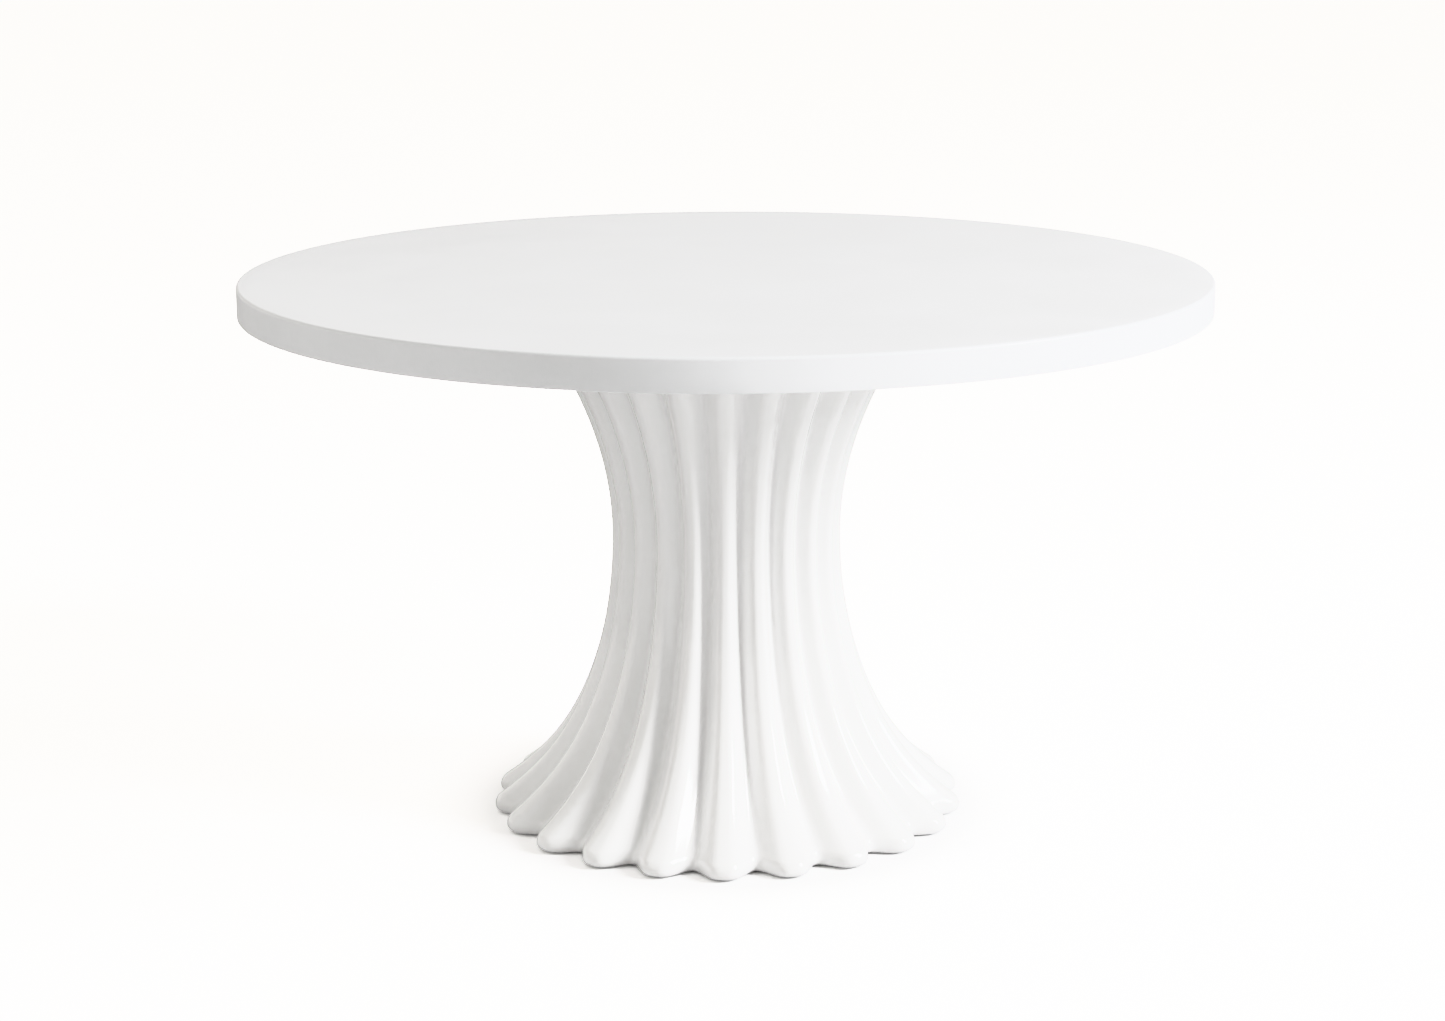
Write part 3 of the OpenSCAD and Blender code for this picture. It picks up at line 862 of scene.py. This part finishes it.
def build_plate_fasteners():
    """Inserts in the disc, and the hexagon screws and washers that hold the top plate to them."""
    spots = (PLATE_SCREW_COUNT, PLATE_CIRCLE_R)
    insert_top = CROWN_Z + INSERT_L
    insert = ring(INSERT_R, M6_R + THREAD_GAP, CROWN_Z, insert_top, 0.4 * MM)
    place_set("disc_inserts", [insert], spots, ZINC, "zinc_plate", "plate_inserts")
    washer_low = PLATE_Z - WASHER_T
    washer = ring(M6_WASHER_R, M6_R + BOLT_GAP, washer_low, PLATE_Z, 0.3 * MM)
    place_set("plate_screw_washers", [washer], spots, ZINC, "zinc_plate", "plate_washers")
    screw = [hexagonal(M6_HEAD_W, washer_low - M6_HEAD_H, washer_low, 0, chamfer_top=False),
             threaded_rod(M6_R, M6_PITCH, washer_low - OVERLAP, insert_top - TIP_GAP, 16)]
    place_set("plate_hex_screws", screw, spots, TURNED_STEEL, "bright_steel", "plate_screws")


for number in range(1, FOOT_COUNT + 1):
    build_foot(number)
build_column()
build_plate_fasteners()
build_disc_screws()
build_flanged_nuts()
build_ballast_fasteners()
build_tie_rod()


# ---------------------------------------------------------------- carried-over CAD pieces

CARRIED = {
    FIBREBOARD: ["mounting_disc"],
    PLYWOOD: ["crown_ring", "base_board"],
    RESIN: ["bond_bead"],
    POWDER_COAT: ["top_plate", "ballast_plate"],
}


def finish_cad_nodes():
    for material, names in CARRIED.items():
        for name in names:
            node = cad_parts[name]
            node.data.materials.clear()
            node.data.materials.append(material)


finish_cad_nodes()


# ---------------------------------------------------------------- studio

def make_floor():
    """A pale floor. The camera sees it brighter than it lights the table, and burnt out to white away
    from the foot. Close round the foot it is painted darker, a painted shade ring in which the soft shadow
    at the toes shows. Seen from below it isn't there."""
    mesh = bpy.data.meshes.new("floor")
    size = 30
    mesh.from_pydata([(-size, -size, 0), (size, -size, 0), (size, size, 0), (-size, size, 0)], [],
                     [(0, 1, 2, 3)])
    n = Nodes("floor_white_painted_shade")
    n.set(Base_Color=(FLOOR_TONE, FLOOR_TONE, FLOOR_TONE, 1), Roughness=0.9, Specular_IOR_Level=0.1)
    seen = n.add("ShaderNodeBsdfDiffuse")
    away = n.add("ShaderNodeVectorMath", operation="LENGTH")
    n.join(n.place, "Object", away, 0)
    # painted shade: the floor the camera sees is turned darker close round the foot and brighter further
    # out
    near, far = PAINTED_SHADE_REACH
    painted_shade_gain = n.spread(away, *FLOOR_SEEN_SHADE_TO_WHITE, out="Value", source_low=near, source_high=far)
    painted_shade_gain.interpolation_type = "SMOOTHSTEP"
    n.join(painted_shade_gain, "Result", seen, "Color")
    ray = n.add("ShaderNodeLightPath")
    above = n.add("ShaderNodeMixShader")
    n.join(ray, "Is Camera Ray", above, 0)
    n.tree.links.new(n.shader.outputs["BSDF"], above.inputs[1])
    n.tree.links.new(seen.outputs["BSDF"], above.inputs[2])
    geometry = n.add("ShaderNodeNewGeometry")
    clear = n.add("ShaderNodeBsdfTransparent")
    choose = n.add("ShaderNodeMixShader")
    output = next(x for x in n.tree.nodes if x.type == "OUTPUT_MATERIAL")
    n.join(geometry, "Backfacing", choose, 0)
    n.tree.links.new(above.outputs["Shader"], choose.inputs[1])
    n.tree.links.new(clear.outputs["BSDF"], choose.inputs[2])
    n.join(choose, "Shader", output, "Surface")
    mesh.materials.append(n.material)
    floor = link(bpy.data.objects.new("floor", mesh))


def make_world():
    """White to the camera. For light, a soft room that glows from the back, the front and the left."""
    world = bpy.data.worlds.new("studio")
    bpy.context.scene.world = world
    world.use_nodes = True
    tree = world.node_tree
    tree.nodes.clear()
    output = tree.nodes.new("ShaderNodeOutputWorld")
    room = tree.nodes.new("ShaderNodeBackground")
    seen = tree.nodes.new("ShaderNodeBackground")
    seen.inputs["Strength"].default_value = BACKDROP_SEEN
    direction = tree.nodes.new("ShaderNodeTexCoord")
    total = None
    for toward, strength in ROOM_GLOW:
        facing = tree.nodes.new("ShaderNodeVectorMath")
        facing.operation = "DOT_PRODUCT"
        facing.inputs[1].default_value = toward
        tree.links.new(direction.outputs["Generated"], facing.inputs[0])
        share = tree.nodes.new("ShaderNodeMapRange")
        share.inputs["To Max"].default_value = strength
        tree.links.new(facing.outputs["Value"], share.inputs["Value"])
        if total is None:
            total = share.outputs["Result"]
            continue
        add = tree.nodes.new("ShaderNodeMath")
        tree.links.new(total, add.inputs[0])
        tree.links.new(share.outputs["Result"], add.inputs[1])
        total = add.outputs["Value"]
    tree.links.new(total, room.inputs["Strength"])
    ray = tree.nodes.new("ShaderNodeLightPath")
    choose = tree.nodes.new("ShaderNodeMixShader")
    room.inputs["Color"].default_value = ROOM_COLOUR
    seen.inputs["Color"].default_value = (1, 1, 1, 1)
    tree.links.new(ray.outputs["Is Camera Ray"], choose.inputs["Fac"])
    tree.links.new(room.outputs["Background"], choose.inputs[1])
    tree.links.new(seen.outputs["Background"], choose.inputs[2])
    tree.links.new(choose.outputs["Shader"], output.inputs["Surface"])


def make_key():
    """One tall soft box on the right, aimed at the pedestal; the overhanging top shades the upper ribs."""
    data = bpy.data.lights.new("key", "AREA")
    data.shape = "RECTANGLE"
    data.size, data.size_y = SOFT_BOX_SIZE
    data.color = KEY_COLOUR
    data.energy = KEY_LEVEL * (math.pi * SOFT_BOX_DISTANCE) ** 2
    light = link(bpy.data.objects.new("key", data))
    a, e = math.radians(KEY_AZIMUTH), math.radians(KEY_ELEVATION)
    away = Vector((math.sin(a) * math.cos(e), -math.cos(a) * math.cos(e), math.sin(e)))
    light.location = Vector((0, 0, 0.35)) + away * SOFT_BOX_DISTANCE
    light.rotation_euler = (-away).to_track_quat("-Z", "Y").to_euler()
    light.visible_camera = False


FLOOR_TONE = 0.7
# painted shade: the seen floor's gain near the foot and far from it, and the radii between which it rises
FLOOR_SEEN_SHADE_TO_WHITE = (1.55, 9.0)
PAINTED_SHADE_REACH = (0.325, 0.47)
BACKDROP_SEEN = 6.0
ROOM_COLOUR = (1, 0.98, 0.946, 1)
ROOM_GLOW = [((0, 1, 0), 0.68), ((0, -1, 0), 0.54), ((-1, 0, 0), 1.06)]
SOFT_BOX_SIZE = (1.4, 2.8)
SOFT_BOX_DISTANCE = 6.0
KEY_AZIMUTH = 74
KEY_ELEVATION = 29
KEY_LEVEL = 1.64
KEY_COLOUR = (0.99, 0.994, 1)
make_floor()
make_world()
make_key()


# ---------------------------------------------------------------- camera

CAMERA_DISTANCE = 3.657
CAMERA_HEIGHT = 1.292
CAMERA_OFFSET = -0.0053
CAMERA_YAW = math.radians(0.9)
CAMERA_DIP = math.radians(13.42)
CAMERA_ROLL = math.radians(-0.24)
LENS = 68.2


def make_camera():
    data = bpy.data.cameras.new("camera")
    data.lens = LENS
    data.sensor_width = 36
    camera = link(bpy.data.objects.new("camera", data))
    yaw = Matrix.Rotation(CAMERA_YAW, 4, "Z")
    place = Matrix.Translation((CAMERA_OFFSET, -CAMERA_DISTANCE, CAMERA_HEIGHT))
    tilt = Matrix.Rotation(math.pi / 2 - CAMERA_DIP, 4, "X")
    roll = Matrix.Rotation(CAMERA_ROLL, 4, "Z")
    camera.matrix_world = yaw @ place @ tilt @ roll
    bpy.context.scene.camera = camera


make_camera()
view = bpy.context.scene.view_settings
view.view_transform = "Khronos PBR Neutral"
view.look = "None"
view.exposure = 0
view.gamma = 1
